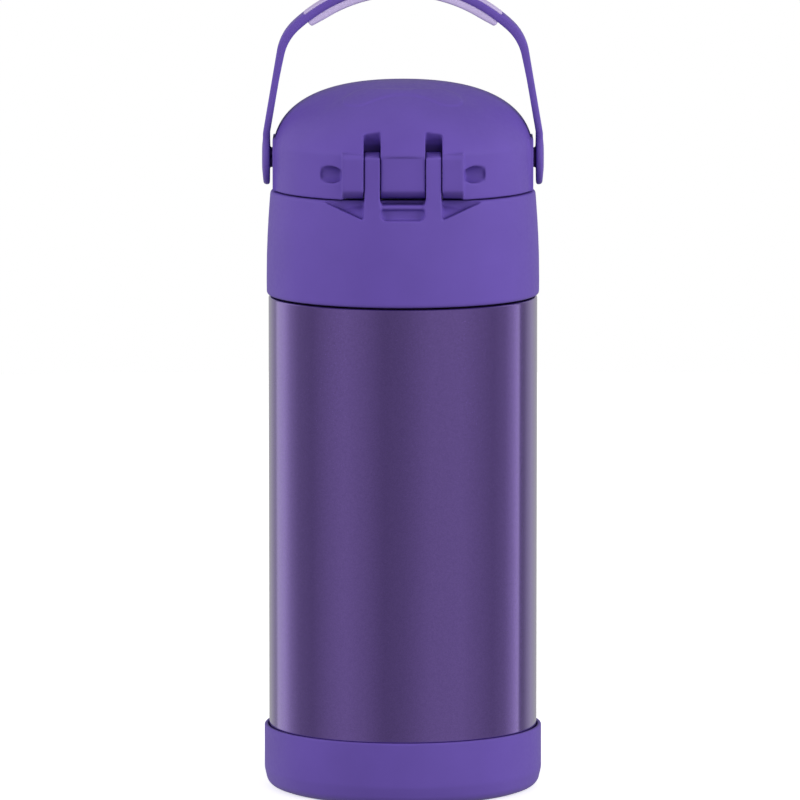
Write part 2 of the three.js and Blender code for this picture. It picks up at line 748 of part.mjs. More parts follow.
addPiece('handle_grip', handleGrip(), gripRubber);
addPiece('handle_inlay', handleInlay(), gripRubber);

export default bottle;
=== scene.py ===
"""Looks for the kids' straw bottle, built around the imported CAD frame.

Lengths in the shape helpers are millimetres; they become metres when a mesh is made. The hinge side of
the lid is at -Y, which is the side the camera sees, and the push button is at +Y.
"""

import math

import bmesh
import bpy
from mathutils import Matrix, Vector


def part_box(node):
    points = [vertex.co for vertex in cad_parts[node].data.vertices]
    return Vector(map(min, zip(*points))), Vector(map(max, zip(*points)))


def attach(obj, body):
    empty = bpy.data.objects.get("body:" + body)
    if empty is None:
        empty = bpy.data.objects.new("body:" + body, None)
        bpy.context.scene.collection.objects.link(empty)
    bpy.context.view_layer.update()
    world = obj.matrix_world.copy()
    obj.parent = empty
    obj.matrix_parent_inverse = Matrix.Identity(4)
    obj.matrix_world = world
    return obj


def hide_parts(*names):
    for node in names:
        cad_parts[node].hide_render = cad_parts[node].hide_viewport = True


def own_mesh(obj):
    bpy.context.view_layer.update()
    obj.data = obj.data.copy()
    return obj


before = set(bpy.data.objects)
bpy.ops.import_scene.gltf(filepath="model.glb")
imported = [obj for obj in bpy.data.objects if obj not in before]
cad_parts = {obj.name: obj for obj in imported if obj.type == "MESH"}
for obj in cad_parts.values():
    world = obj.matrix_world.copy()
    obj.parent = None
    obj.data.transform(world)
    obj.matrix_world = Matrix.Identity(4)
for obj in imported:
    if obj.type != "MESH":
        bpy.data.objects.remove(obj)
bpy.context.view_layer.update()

MM = 0.001
ROUND = 192  # facets of the cap's large round pieces
FLASK_ROUND = 256  # facets of the flask's outside


# ---------------------------------------------------------------- sizes, in mm


def box_mm(node):
    """The lowest and the highest corner of a CAD node."""
    low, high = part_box(node)
    return [value / MM for value in low], [value / MM for value in high]


SHELL_LOW, SHELL_HIGH = box_mm("outer_shell")
BOOT_HIGH = box_mm("base_boot")[1]
LINER_LOW, LINER_HIGH = box_mm("inner_liner")
INSERT_HIGH = box_mm("stopper_insert")[1]
COLLAR_LOW = box_mm("collar")[0]
LID_LOW, LID_HIGH = box_mm("flip_lid")
PIN_LOW, PIN_HIGH = box_mm("hinge_pin")
BAND_LOW = box_mm("handle_band")[0]
STRAW_LOW, STRAW_HIGH = box_mm("straw")
SEAL_LOW, SEAL_HIGH = box_mm("lid_seal")

SHELL_R = SHELL_HIGH[0]
SHELL_WALL = 0.6
SHOULDER_Z = 127.4
NECK_R = 28.2
BOOT_R = BOOT_HIGH[0]

SKIRT_R = 29.6  # inside of the insert's threaded skirt
COLLAR_IN_R = 31.4
BLOCK_X = 21  # half the width of the collar's thick wall under the hinge
DECK_Z = 152.4  # top of the deck that closes the cap
DECK_WALL = 1.4
SEAM_Z = LID_LOW[2] - 0.3  # top of the collar, where the lid closes on it
SPOUT_Z = 156.8
BALL_R = 5.6  # of the spout's ball joint

HINGE_Y = (PIN_LOW[1] + PIN_HIGH[1]) / 2
HINGE_Z = (PIN_LOW[2] + PIN_HIGH[2]) / 2
BORE_R = 1.5  # for the hinge pin
EAR_X = 7.8  # middle of each hinge ear of the collar
EAR_WIDTH = 3.9
EAR_R = 5.8
KNUCKLE_X = 15.4  # half the width of the lid's knuckles
KNUCKLE_R = 6
RECESS_X = 20.8  # outer end of the recess that shows the pin's end

LID_R = 33.5
LID_WALL = 1.8
FLAT_X = 33.35  # the lid's flats beside the handle
FLAT_HALF_WIDTH = 8

HANDLE_END_R = 7
HANDLE_WIDTH = 10
HANDLE_TOP = 208.9
TRUNNION_R = 2.55
PIVOT_Z = BAND_LOW[2] + HANDLE_END_R


# ---------------------------------------------------------------- camera, floor and light


def make_camera():
    """A view of the hinge side, level left to right and 7 degrees down, from far away."""
    tilt = 0.122
    data = bpy.data.cameras.new("camera")
    data.lens = 423
    data.sensor_width = 36
    data.clip_start, data.clip_end = 0.1, 20
    camera = bpy.data.objects.new("camera", data)
    camera.location = (-0.00075, -2.4, 0.3945)
    camera.rotation_euler = (math.radians(90) - tilt, 0, 0)
    bpy.context.scene.collection.objects.link(camera)
    bpy.context.scene.camera = camera


def make_floor():
    """A white disc; past its edge the camera sees the white studio."""
    radius, sides = 0.9, 128
    mesh = bpy.data.meshes.new("floor")
    rim = [2 * math.pi * k / sides for k in range(sides)]
    mesh.from_pydata([(radius * math.cos(a), radius * math.sin(a), 0) for a in rim], [], [range(sides)])
    floor = bpy.data.objects.new("floor", mesh)
    bpy.context.scene.collection.objects.link(floor)
    floor.visible_glossy = False
    floor.visible_diffuse = False
    material = bpy.data.materials.new("floor_white")
    material.use_nodes = True
    shader = material.node_tree.nodes["Principled BSDF"]
    shader.inputs["Base Color"].default_value = (0.9, 0.9, 0.9, 1)
    shader.inputs["Roughness"].default_value = 0.9
    shader.inputs["Emission Color"].default_value = (1, 1, 1, 1)
    shader.inputs["Emission Strength"].default_value = 0.58
    mesh.materials.append(material)


# Brightness of the studio round the bottle: degrees from the camera towards +X, and strength.
STUDIO = [
    (-180, 0.42), (-155, 0.42), (-142, 0.34), (-137, 0.74), (-123, 0.70), (-113, 0.42), (-101, 0.25),
    (-85, 0.20), (-66, 0.32), (-51, 0.38), (-33, 0.30), (-16, 0.19), (0, 0.22), (24, 0.34), (51, 0.36),
    (71, 0.27), (84, 0.21), (99, 0.28), (109, 0.5), (119, 0.86), (120.5, 0.18), (128, 0.20), (135, 0.36),
    (145, 0.48), (160, 0.42), (180, 0.42),
]


def make_world():
    """Light that changes only round the bottle, in stripes, and plain white behind it for the camera."""
    world = bpy.data.worlds.new("studio")
    bpy.context.scene.world = world
    world.use_nodes = True
    nodes, links = world.node_tree.nodes, world.node_tree.links
    background = nodes["Background"]
    coords = nodes.new("ShaderNodeTexCoord")
    split = nodes.new("ShaderNodeSeparateXYZ")
    links.new(coords.outputs["Generated"], split.inputs[0])
    flip = nodes.new("ShaderNodeMath")
    flip.operation = "MULTIPLY"
    flip.inputs[1].default_value = -1
    links.new(split.outputs["Y"], flip.inputs[0])
    azimuth = nodes.new("ShaderNodeMath")
    azimuth.operation = "ARCTAN2"
    links.new(split.outputs["X"], azimuth.inputs[0])
    links.new(flip.outputs[0], azimuth.inputs[1])
    share = nodes.new("ShaderNodeMath")
    share.operation = "MULTIPLY_ADD"
    share.inputs[1].default_value = 0.5 / math.pi
    share.inputs[2].default_value = 0.5
    links.new(azimuth.outputs[0], share.inputs[0])
    ramp = nodes.new("ShaderNodeValToRGB")
    stops = ramp.color_ramp.elements
    while len(stops) < len(STUDIO):
        stops.new(0.5)
    for stop, (degrees, strength) in zip(stops, STUDIO):
        stop.position = degrees / 360 + 0.5
        stop.color = (strength, strength, strength, 1)
    links.new(share.outputs[0], ramp.inputs["Fac"])
    path = nodes.new("ShaderNodeLightPath")
    mix = nodes.new("ShaderNodeMix")
    mix.data_type = "RGBA"
    mix.inputs["B"].default_value = (1, 1, 1, 1)
    links.new(path.outputs["Is Camera Ray"], mix.inputs["Factor"])
    links.new(ramp.outputs["Color"], mix.inputs["A"])
    links.new(mix.outputs["Result"], background.inputs["Color"])
    background.inputs["Strength"].default_value = 1


def add_softbox(name, place, watts):
    """A low, broad light aimed at the bottle that leaves no reflection on it."""
    data = bpy.data.lights.new(name, "AREA")
    data.shape = "RECTANGLE"
    data.size, data.size_y = 1.2, 1.0
    data.energy = watts
    light = bpy.data.objects.new(name, data)
    light.location = place
    light.rotation_euler = (Vector((0, 0, 0.1)) - Vector(place)).to_track_quat("-Z", "Y").to_euler()
    light.visible_glossy = False
    bpy.context.scene.collection.objects.link(light)


make_camera()
make_floor()
make_world()
add_softbox("left", (-1.6, -0.6, 0.62), 20)
add_softbox("right", (1.6, -0.6, 0.62), 23.5)
add_softbox("front", (0.3, -1.75, 0.62), 7)
bpy.context.scene.view_settings.view_transform = "Standard"


# ---------------------------------------------------------------- materials


def new_material(name):
    material = bpy.data.materials.new(name)
    material.use_nodes = True
    nodes, links = material.node_tree.nodes, material.node_tree.links
    shader = nodes["Principled BSDF"]
    coords = nodes.new("ShaderNodeTexCoord")
    return material, nodes, links, shader, coords.outputs["Object"]


def add_noise(nodes, links, coords, per_metre, detail, stretch=(1, 1, 1)):
    mapping = nodes.new("ShaderNodeMapping")
    mapping.inputs["Scale"].default_value = [per_metre * s for s in stretch]
    links.new(coords, mapping.inputs["Vector"])
    noise = nodes.new("ShaderNodeTexNoise")
    noise.inputs["Scale"].default_value = 1
    noise.inputs["Detail"].default_value = detail
    links.new(mapping.outputs[0], noise.inputs["Vector"])
    return noise.outputs["Fac"]


def add_range(nodes, links, source, low, high, span=(0.3, 0.7)):
    remap = nodes.new("ShaderNodeMapRange")
    remap.inputs["From Min"].default_value, remap.inputs["From Max"].default_value = span
    remap.inputs["To Min"].default_value, remap.inputs["To Max"].default_value = low, high
    links.new(source, remap.inputs["Value"])
    return remap.outputs[0]


def add_tint(nodes, links, source, dark, light, span=(0.3, 0.7)):
    mix = nodes.new("ShaderNodeMix")
    mix.data_type = "RGBA"
    mix.inputs["A"].default_value = (*dark, 1)
    mix.inputs["B"].default_value = (*light, 1)
    links.new(add_range(nodes, links, source, 0, 1, span), mix.inputs["Factor"])
    return mix.outputs["Result"]


def add_bump(nodes, links, shader, source, strength, distance):
    bump = nodes.new("ShaderNodeBump")
    bump.inputs["Strength"].default_value = strength
    bump.inputs["Distance"].default_value = distance
    links.new(source, bump.inputs["Height"])
    links.new(bump.outputs[0], shader.inputs["Normal"])


def shaded(colour, factor):
    return tuple(min(1, c * factor) for c in colour)


def moulded_plastic(name, colour, roughness, grain=0.12):
    """Injection-moulded plastic: a fine spark-eroded grain, and a faint cloudiness in colour and sheen."""
    material, nodes, links, shader, coords = new_material(name)
    cloud = add_noise(nodes, links, coords, 60, 3)
    tint = add_tint(nodes, links, cloud, shaded(colour, 0.95), shaded(colour, 1.04))
    links.new(tint, shader.inputs["Base Color"])
    sheen = add_noise(nodes, links, coords, 900, 3)
    rough = add_range(nodes, links, sheen, roughness - 0.04, roughness + 0.05)
    links.new(rough, shader.inputs["Roughness"])
    fine = add_noise(nodes, links, coords, 6500, 2)
    add_bump(nodes, links, shader, fine, grain, 0.00006)
    shader.inputs["IOR"].default_value = 1.49
    shader.inputs["Specular IOR Level"].default_value = 0.35
    return material


def lacquered_steel(name):
    """Steel under a tinted metallic lacquer: fine flakes in the colour, a smooth clear coat on top."""
    material, nodes, links, shader, coords = new_material(name)
    flakes = nodes.new("ShaderNodeTexVoronoi")
    flakes.inputs["Scale"].default_value = 5200
    links.new(coords, flakes.inputs["Vector"])
    split = nodes.new("ShaderNodeSeparateColor")
    links.new(flakes.outputs["Color"], split.inputs[0])
    tint = add_tint(nodes, links, split.outputs[0], (0.225, 0.125, 0.52), (0.285, 0.165, 0.62), (0, 1))
    links.new(tint, shader.inputs["Base Color"])
    links.new(add_range(nodes, links, split.outputs[1], 0.12, 0.21, (0, 1)), shader.inputs["Roughness"])
    peel = add_noise(nodes, links, coords, 420, 2)
    add_bump(nodes, links, shader, peel, 0.03, 0.0001)
    shader.inputs["Metallic"].default_value = 0.92
    shader.inputs["Coat Weight"].default_value = 1
    shader.inputs["Coat Roughness"].default_value = 0.04
    shader.inputs["Coat IOR"].default_value = 1.5
    return material


def brushed_steel(name, colour=(0.62, 0.61, 0.60), turned=True):
    """Bare stainless steel with fine marks round the axis where it was turned, or in all directions."""
    material, nodes, links, shader, coords = new_material(name)
    marks = add_noise(nodes, links, coords, 900, 4, (0.12, 0.12, 9) if turned else (1, 1, 1))
    tint = add_tint(nodes, links, marks, shaded(colour, 0.86), shaded(colour, 1.08))
    links.new(tint, shader.inputs["Base Color"])
    links.new(add_range(nodes, links, marks, 0.22, 0.38), shader.inputs["Roughness"])
    add_bump(nodes, links, shader, marks, 0.08, 0.00005)
    shader.inputs["Metallic"].default_value = 1
    return material


def soft_silicone(name, colour, roughness, clear=0.0):
    """A soft dull rubber; clear is the share of light that goes through or scatters under the skin."""
    material, nodes, links, shader, coords = new_material(name)
    cloud = add_noise(nodes, links, coords, 140, 3)
    links.new(add_tint(nodes, links, cloud, shaded(colour, 0.95), colour), shader.inputs["Base Color"])
    dust = add_noise(nodes, links, coords, 1500, 3)
    links.new(add_range(nodes, links, dust, roughness - 0.05, roughness + 0.07), shader.inputs["Roughness"])
    add_bump(nodes, links, shader, add_noise(nodes, links, coords, 5000, 2), 0.04, 0.00005)
    shader.inputs["Subsurface Weight"].default_value = clear
    shader.inputs["Subsurface Radius"].default_value = (0.004, 0.004, 0.004)
    shader.inputs["Subsurface Scale"].default_value = 0.6
    shader.inputs["Transmission Weight"].default_value = clear
    shader.inputs["IOR"].default_value = 1.42
    return material


PURPLE = (0.136, 0.080, 0.405)
CASE_PLASTIC = moulded_plastic("case_plastic", PURPLE, 0.5)
BOOT_PLASTIC = moulded_plastic("boot_plastic", shaded(PURPLE, 0.96), 0.5, 0.2)
INNER_PLASTIC = moulded_plastic("inner_plastic", shaded(PURPLE, 0.8), 0.5)
PAINTED_STEEL = lacquered_steel("painted_steel")
BARE_STEEL = brushed_steel("bare_steel")
PIN_STEEL = brushed_steel("pin_steel", (0.55, 0.55, 0.56), turned=False)
COPPER_FOIL = brushed_steel("copper_foil", (0.72, 0.38, 0.24), turned=False)
GRIP_RUBBER = soft_silicone("grip_rubber", (0.60, 0.50, 0.80), 0.6)
SILICONE = soft_silicone("silicone", (0.86, 0.85, 0.88), 0.4, 0.15)
STRAW_PLASTIC = soft_silicone("straw_plastic", (0.84, 0.83, 0.87), 0.3, 0.2)


# ---------------------------------------------------------------- mesh helpers


def make_object(name, mesh, material):
    piece = bpy.data.objects.new(name, mesh)
    bpy.context.scene.collection.objects.link(piece)
    mesh.materials.append(material)
    return piece


def eased(share):
    """0 below 0 and 1 above 1, with a smooth step between them."""
    share = min(1, max(0, share))
    return share * share * (3 - 2 * share)


def smooth(mesh, angle=32):
    """Smooth shading, with edges sharper than the angle kept crisp."""
    mesh.shade_smooth()
    mesh.set_sharp_from_angle(angle=math.radians(angle))


def mesh_from(name, points, faces):
    """A closed mesh from points in mm, its faces turned outwards."""
    mesh = bpy.data.meshes.new(name)
    mesh.from_pydata([[value * MM for value in point] for point in points], [], faces)
    work = bmesh.new()
    work.from_mesh(mesh)
    bmesh.ops.remove_doubles(work, verts=work.verts, dist=1e-7)
    bmesh.ops.recalc_face_normals(work, faces=work.faces)
    work.to_mesh(mesh)
    work.free()
    return mesh


def filleted(corners, steps=5):
    """An outline with rounded corners: each corner is (a, b) or (a, b, radius). It closes on itself."""
    outline = []
    count = len(corners)
    for i, corner in enumerate(corners):
        here = Vector(corner[:2])
        radius = corner[2] if len(corner) > 2 else 0
        if radius <= 0:
            outline.append(tuple(here))
            continue
        before = Vector(corners[i - 1][:2]) - here
        after = Vector(corners[(i + 1) % count][:2]) - here
        half = before.angle(after) / 2
        reach = min(radius / math.tan(half), 0.49 * before.length, 0.49 * after.length)
        radius = reach * math.tan(half)
        start = here + before.normalized() * reach
        end = here + after.normalized() * reach
        middle = here + (before.normalized() + after.normalized()).normalized() * (radius / math.sin(half))
        for k in range(steps + 1):
            ray = (start - middle).lerp(end - middle, k / steps).normalized() * radius
            outline.append(tuple(middle + ray))
    return outline


def arc(centre, radius, start, end, steps):
    """Points on an arc, angles in degrees from the first axis towards the second."""
    angles = [math.radians(start + (end - start) * i / steps) for i in range(steps + 1)]
    return [(centre[0] + radius * math.cos(a), centre[1] + radius * math.sin(a)) for a in angles]


def lathe_mesh(name, outline, segments=160):
    """A closed outline of (radius, height) points turned about Z. Points on the axis close it there."""
    points, rings = [], []
    for radius, height in outline:
        if radius < 1e-6:
            rings.append([len(points)])
            points.append((0, 0, height))
            continue
        rings.append(list(range(len(points), len(points) + segments)))
        for k in range(segments):
            angle = 2 * math.pi * k / segments
            points.append((radius * math.cos(angle), radius * math.sin(angle), height))
    faces = []
    for i, ring in enumerate(rings):
        following = rings[(i + 1) % len(rings)]
        if len(ring) == 1 and len(following) == 1:
            continue
        for k in range(segments):
            corners = [ring[k % len(ring)], ring[(k + 1) % len(ring)]]
            corners += [following[(k + 1) % len(following)], following[k % len(following)]]
            faces.append(list(dict.fromkeys(corners)))
    return mesh_from(name, points, faces)


def swept_mesh(name, rings):
    """A closed skin over rings of equally many points, capped at both ends."""
    sides = len(rings[0])
    faces = []
    for i in range(len(rings) - 1):
        for k in range(sides):
            a, b = i * sides + k, i * sides + (k + 1) % sides
            faces.append((a, b, b + sides, a + sides))
    last = (len(rings) - 1) * sides
    faces += [tuple(range(sides)), tuple(last + k for k in reversed(range(sides)))]
    return mesh_from(name, [point for ring in rings for point in ring], faces)


def turned_piece(name, outline, material, segments=160):
    mesh = lathe_mesh(name, outline, segments)
    smooth(mesh)
    return make_object(name, mesh, material)


def prism_mesh(name, outline, place, start, end):
    """An outline of (a, b) points carried from start to end; place turns (a, b, along) into x, y, z."""
    count = len(outline)
    points = [place(a, b, start) for a, b in outline] + [place(a, b, end) for a, b in outline]
    faces = [list(range(count)), list(range(2 * count - 1, count - 1, -1))]
    faces += [[i, (i + 1) % count, (i + 1) % count + count, i + count] for i in range(count)]
    return mesh_from(name, points, faces)


def along_x(a, b, along):
    return (along, a, b)


def along_y(a, b, along):
    return (a, along, b)


def along_z(a, b, along):
    return (a, b, along)


def block_mesh(low, high):
    outline = [(low[0], low[1]), (high[0], low[1]), (high[0], high[1]), (low[0], high[1])]
    return prism_mesh("block", outline, along_z, low[2], high[2])


def rod_mesh(radius, start, end, y, z, sides=48):
    return prism_mesh("rod", arc((y, z), radius, 0, 360 - 360 / sides, sides - 1), along_x, start, end)


def combine(mesh, others, operation):
    """This mesh joined with others ("UNION"), cut by them ("DIFFERENCE") or kept inside ("INTERSECT")."""
    holder = bpy.data.objects.new("work", mesh)
    bpy.context.scene.collection.objects.link(holder)
    tools = []
    for other in others:
        tool = bpy.data.objects.new("tool", other)
        bpy.context.scene.collection.objects.link(tool)
        tools.append(tool)
        modifier = holder.modifiers.new("cut", "BOOLEAN")
        modifier.operation = operation
        modifier.solver = "EXACT"
        modifier.object = tool
    result = applied(holder)
    for tool in tools:
        bpy.data.objects.remove(tool)
    bpy.data.objects.remove(holder)
    return result


def applied(holder):
    depsgraph = bpy.context.evaluated_depsgraph_get()
    return bpy.data.meshes.new_from_object(holder.evaluated_get(depsgraph))


def moulded(mesh, voxel=0.28, passes=6, keep=0.3):
    """Rounds every edge as a mould does: even small faces, smoothed, then thinned where it is flat."""
    holder = bpy.data.objects.new("work", mesh)
    bpy.context.scene.collection.objects.link(holder)
    remesh = holder.modifiers.new("remesh", "REMESH")
    remesh.mode = "VOXEL"
    remesh.voxel_size = voxel * MM
    ease = holder.modifiers.new("ease", "SMOOTH")
    ease.factor = 0.5
    ease.iterations = passes
    thin = holder.modifiers.new("thin", "DECIMATE")
    thin.ratio = keep
    result = applied(holder)
    bpy.data.objects.remove(holder)
    result.shade_smooth()
    return result


def both_sides(make):
    """The same mesh made for the left, -1, and for the right, 1."""
    return [make(side) for side in (-1, 1)]


def span(side, near, far):
    """The two ends along X of something between near and far from the middle plane."""
    return sorted((side * near, side * far))


def finish_piece(piece, body, slot, *nodes):
    """Gives a piece its body and hides the CAD nodes that it stands for. The slot argument is not used."""
    if nodes:
        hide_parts(*nodes)
    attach(piece, body)
    return piece


# ---------------------------------------------------------------- flask


def make_steel_body():
    low, high = SHELL_LOW[2], SHELL_HIGH[2]
    inner = SHELL_R - SHELL_WALL
    foot = 31
    outline = filleted([
        (foot, low), (SHELL_R, low, 2), (SHELL_R, SHOULDER_Z, 0.6), (NECK_R, SHOULDER_Z + 0.2, 0.8),
        (NECK_R, high), (NECK_R - SHELL_WALL, high), (NECK_R - SHELL_WALL, SHOULDER_Z - 0.5, 0.4),
        (inner, SHOULDER_Z - 0.7, 0.8), (inner, low + SHELL_WALL, 1.5), (foot, low + SHELL_WALL),
    ], 8)
    mesh = lathe_mesh("steel_body", outline, FLASK_ROUND)
    smooth(mesh)
    piece = make_object("steel_body", mesh, PAINTED_STEEL)
    mesh.materials.append(BARE_STEEL)
    for face in mesh.polygons:
        reach = math.hypot(face.center.x, face.center.y)
        if face.center.z > (SHOULDER_Z + 0.1) * MM or reach < (NECK_R + 2) * MM:
            face.material_index = 1
    finish_piece(piece, "bottle", "painted_steel", "outer_shell")


def make_boot():
    inner = SHELL_R + 0.25
    outline = filleted([
        (0, 0.9), (21, 0.9), (22, 0, 0.4), (31.7, 0, 2.5), (BOOT_R - 0.9, 1.1, 3), (BOOT_R, 5, 6),
        (BOOT_R, BOOT_HIGH[2], 0.7), (inner, BOOT_HIGH[2], 0.25), (inner, SHELL_LOW[2] + 1.6, 1.5),
        (32.7, 2), (0, 2),
    ], 8)
    piece = turned_piece("boot", outline, BOOT_PLASTIC, FLASK_ROUND)
    finish_piece(piece, "bottle", "boot_plastic", "base_boot")


def thread_mesh(wall, outward, start_z, turns=1.25, pitch=4, height=1.0):
    """A helical ridge on a wall of this radius, its ends tapering into the wall."""
    per_turn, taper = 64, 10
    steps = int(turns * per_turn)
    section = [(-0.3, -1), (height, -0.38), (height, 0.38), (-0.3, 1)]
    rings = []
    for i in range(steps + 1):
        angle = 2 * math.pi * i / per_turn
        rise = min(1, i / taper, (steps - i) / taper)
        ring = []
        for out, along in section:
            radius = wall + outward * (out if out < 0 else out * rise - 0.1 * (1 - rise))
            height_z = start_z + pitch * i / per_turn + along
            ring.append((radius * math.cos(angle), radius * math.sin(angle), height_z))
        rings.append(ring)
    return swept_mesh("thread", rings)


def make_neck_thread():
    mesh = thread_mesh(NECK_R, 1, 135)
    smooth(mesh, 40)
    finish_piece(make_object("neck_thread", mesh, BARE_STEEL), "bottle", "bare_steel")


def make_liner():
    out, wall = LINER_HIGH[0], 0.5
    low, top, shoulder = LINER_LOW[2], LINER_HIGH[2], 121
    neck = 27.3
    outline = filleted([
        (0, low), (out, low, 5), (out, shoulder + 1.5, 3), (neck, shoulder + 4.8, 2), (neck, top - 1.1),
        (NECK_R, top - 1.1), (NECK_R, top, 0.5), (neck - wall, top, 0.5), (neck - wall, shoulder + 4.4, 2),
        (out - wall, shoulder + 1.1, 2.6), (out - wall, low + wall, 4.6), (0, low + wall),
    ], 10)
    finish_piece(turned_piece("liner", outline, BARE_STEEL, 200), "bottle", "bare_steel", "inner_liner")


# ---------------------------------------------------------------- cap


COLLAR_CURVE = [(34.98, 128.9), (35.0, 132), (34.93, 138), (34.75, 143), (34.5, 147.5), (34.22, 151.5)]


def collar_ears():
    """The hinge ears: round over the pin, and flush with the collar's outside."""
    flush = lathe_mesh("flush", [(0, 140)] + COLLAR_CURVE + [(34.1, 153), (34.1, 170), (0, 170)], ROUND)
    outline = [(-36, 148), (-36, 165.5), (-33.2, 165.9)] + arc((HINGE_Y, HINGE_Z), EAR_R, 110, -30, 24)
    outline += [(-23.6, DECK_Z - 0.5), (-23.6, 148)]

    def ear(side):
        ends = span(side, EAR_X - EAR_WIDTH / 2, EAR_X + EAR_WIDTH / 2)
        return combine(prism_mesh("ear", outline, along_x, *ends), [flush.copy()], "INTERSECT")

    return both_sides(ear)


def ear_boss(side):
    """The washer round the pin, a little wider than its ear."""
    half_width = 2.1
    return rod_mesh(2.5, *span(side, EAR_X - half_width, EAR_X + half_width), HINGE_Y, HINGE_Z)


def collar_reliefs():
    """Three-cornered hollows beside the ears that curve back under the lid."""
    curve = arc((29.3, 149.8), 3.1, 0, 90, 16)
    depth = [(38, 140), (32.4, 140)] + curve + [(28, 152.9), (28, 160), (38, 160)]

    def relief(side):
        corners = ((9.9, 150), (BLOCK_X, SEAM_Z), (BLOCK_X, SEAM_Z + 1), (9.9, SEAM_Z + 1))
        cut = prism_mesh("relief", [(side * x, z) for x, z in corners], along_y, -37, -27.2)
        return combine(cut, [lathe_mesh("keep", depth, ROUND)], "INTERSECT")

    return both_sides(relief)


def hinge_block(edge):
    """The thick part of the collar's wall under the hinge."""
    rounded = lathe_mesh("rounded", [(0, 140)] + COLLAR_CURVE + edge + [(0, SEAM_Z)], ROUND)
    room = lathe_mesh("room", [(0, 130), (COLLAR_IN_R, 130), (COLLAR_IN_R, 151), (0, 151)], 128)
    thick = combine(block_mesh((-BLOCK_X, -36, 146), (BLOCK_X, -24.2, SEAM_Z)), [rounded], "INTERSECT")
    return combine(thick, [room], "DIFFERENCE")


def make_collar():
    low = COLLAR_LOW[2]
    edge = [(34.02, SEAM_Z - 0.55), (33.8, SEAM_Z - 0.15), (33.5, SEAM_Z)]
    outside = [(34.2, low)] + arc((34.2, low + 0.8), 0.8, -75, -8, 4) + COLLAR_CURVE + edge
    inside = [
        (COLLAR_IN_R, SEAM_Z), (COLLAR_IN_R, DECK_Z), (6.4, DECK_Z), (6.4, DECK_Z - DECK_WALL),
        (32, DECK_Z - DECK_WALL), (32.4, 147), (33.3, 133), (33.3, low),
    ]
    pocket_x, pocket_z = 5.6, 150
    rim_z = SEAM_Z + 1
    pocket = filleted([
        (-pocket_x, rim_z), (-pocket_x, pocket_z, 1.5), (pocket_x, pocket_z, 1.5), (pocket_x, rim_z),
    ], 6)
    window_x, window_low, window_high = 9.4, 141.1, 152.4
    window = filleted([
        (-window_x, window_low, 3.2), (window_x, window_low, 3.2), (window_x, window_high, 3.2),
        (-window_x, window_high, 3.2),
    ], 8)
    spring_seat = block_mesh((-3, 22.4, DECK_Z - 0.5), (3, 23.9, DECK_Z + 3.4))
    latch_room = block_mesh((-4.2, 25.9, DECK_Z - 3), (4.2, 33, SEAM_Z + 1))
    shell = lathe_mesh("collar", outside + inside, ROUND)
    body = combine(shell, [hinge_block(edge), *collar_ears(), *both_sides(ear_boss), spring_seat], "UNION")
    body = combine(body, [
        *collar_reliefs(),
        prism_mesh("pocket", pocket, along_y, -37, -32.05),
        block_mesh((-pocket_x, -33, 152.7), (pocket_x, -27.5, SEAM_Z + 1)),
        prism_mesh("window", window, along_y, 30, 37),
        latch_room,
        rod_mesh(BORE_R, -12, 12, HINGE_Y, HINGE_Z),
    ], "DIFFERENCE")
    stop_bar = arc((-32.7, 153.3), 0.62, 90, 270, 12) + [(-27, 152.68), (-27, 153.92)]
    body = combine(body, [prism_mesh("stop_bar", stop_bar, along_x, -6.2, 6.2)], "UNION")
    piece = make_object("cap_collar", moulded(body), CASE_PLASTIC)
    finish_piece(piece, "cap", "purple_plastic", "collar")


def make_insert():
    high, under, skirt_out = INSERT_HIGH[2], 149, 31.3
    outline = filleted([
        (6.1, under), (22.8, under, 0.6), (22.8, 141.5, 0.5), (24.8, 141.5, 1), (24.8, under, 0.3),
        (SKIRT_R, under, 0.3), (SKIRT_R, 129.4, 0.3), (skirt_out, 129.4, 0.4), (skirt_out, high, 0.4),
        (6.1, high),
    ], 5)
    latch_room = block_mesh((-9.4, 29.57, 147.5), (9.4, 33, 152))
    mesh = combine(lathe_mesh("insert", outline, 160), [latch_room], "DIFFERENCE")
    smooth(mesh)
    piece = make_object("threaded_insert", mesh, INNER_PLASTIC)
    finish_piece(piece, "cap", "inner_plastic", "stopper_insert")
    ridge = thread_mesh(SKIRT_R, -1, 133)
    smooth(ridge, 40)
    finish_piece(make_object("cap_thread", ridge, INNER_PLASTIC), "cap", "inner_plastic")


def make_seal():
    low, high = SEAL_LOW[2], SEAL_HIGH[2]
    middle = (low + high) / 2
    inner, rim, lip, waist = 25.1, 27.6, 28.7, 27.9
    outline = filleted([
        (inner, low, 0.3), (rim, low, 0.3), (lip, low + 0.35, 0.2), (waist, middle, 0.2),
        (lip, high - 0.35, 0.2), (rim, high, 0.3), (inner, high, 0.3),
    ], 4)
    finish_piece(turned_piece("seal_ring", outline, SILICONE), "seal_body", "silicone", "lid_seal")


def make_mouthpiece():
    """A flanged tube: the spout's ball sits in its cup, and the straw plugs into its lower end."""
    cup = arc((0, SPOUT_Z), BALL_R + 0.4, -58, -23, 10)
    bore = filleted([(2.6, 148.4), (2.6, SPOUT_Z - BALL_R - 0.1)], 2)
    flange = filleted([
        (6.7, SPOUT_Z - 2.6, 0.3), (7.2, DECK_Z + 1.2, 0.6), (11, DECK_Z + 0.9, 0.4),
        (11.3, DECK_Z + 0.3, 0.1), (5.8, DECK_Z + 0.3), (5.8, 148.6), (6.9, 148.3, 0.3), (5.9, 146.4, 0.4),
        (5.5, 138, 0.6), (3.9, 138, 0.4), (3.9, 148.4),
    ], 4)
    piece = turned_piece("mouthpiece_base", bore + cup + flange, SILICONE, 96)
    finish_piece(piece, "cap", "silicone", "mouthpiece")


